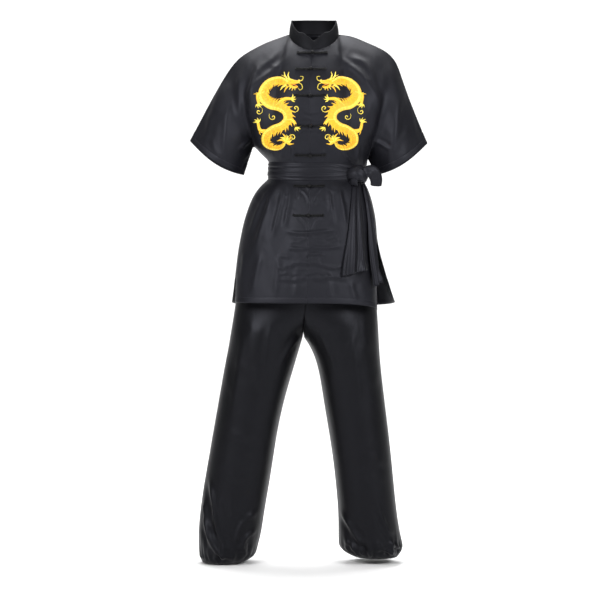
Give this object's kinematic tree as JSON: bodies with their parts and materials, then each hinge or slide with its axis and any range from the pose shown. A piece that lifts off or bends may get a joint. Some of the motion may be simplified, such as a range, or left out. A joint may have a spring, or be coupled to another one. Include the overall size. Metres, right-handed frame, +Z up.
{
  "type": "tai chi uniform",
  "caption": "Worn tai chi uniform: satin jacket with stand collar, frogs and cut-on short sleeves, a tied sash, and trousers gathered at the ankles.",
  "frame": {"origin": "middle of the neck opening, level with the tops of the shoulder seams, where the wearer's shoulders carry the jacket", "axes": "+Z up, -Y is the front, -X is the wearer's right"},
  "size_m": [0.6638, 0.3141, 1.5275],
  "materials": {
    "jacket_satin": "black polyester satin, glossy side out",
    "collar_satin": "black satin over stiffening, duller",
    "sash_satin": "charcoal satin, folded",
    "trouser_satin": "black satin, matter",
    "frog_cord": "rolled bias cord, black"
  },
  "bodies": {
    "root": {"jacket_front_right": "jacket_satin", "jacket_front_left": "jacket_satin", "jacket_back": "jacket_satin", "collar": "collar_satin", "sash_band": "sash_satin", "sash_knot": "sash_satin", "sash_loop": "sash_satin", "sash_tail_front": "sash_satin", "sash_tail_side": "sash_satin", "waistband": "trouser_satin", "trouser_front_right": "trouser_satin", "trouser_front_left": "trouser_satin", "trouser_back_right": "trouser_satin", "trouser_back_left": "trouser_satin", "cuff_right": "trouser_satin", "cuff_left": "trouser_satin", "frog_1_right": "frog_cord", "frog_1_left": "frog_cord", "frog_1_knot": "frog_cord", "frog_2_right": "frog_cord", "frog_2_left": "frog_cord", "frog_2_knot": "frog_cord", "frog_3_right": "frog_cord", "frog_3_left": "frog_cord", "frog_3_knot": "frog_cord", "frog_4_right": "frog_cord", "frog_4_left": "frog_cord", "frog_4_knot": "frog_cord", "frog_5_right": "frog_cord", "frog_5_left": "frog_cord", "frog_5_knot": "frog_cord", "frog_6_right": "frog_cord", "frog_6_left": "frog_cord", "frog_6_knot": "frog_cord", "frog_7_right": "frog_cord", "frog_7_left": "frog_cord", "frog_7_knot": "frog_cord"}
  },
  "joints": []
}
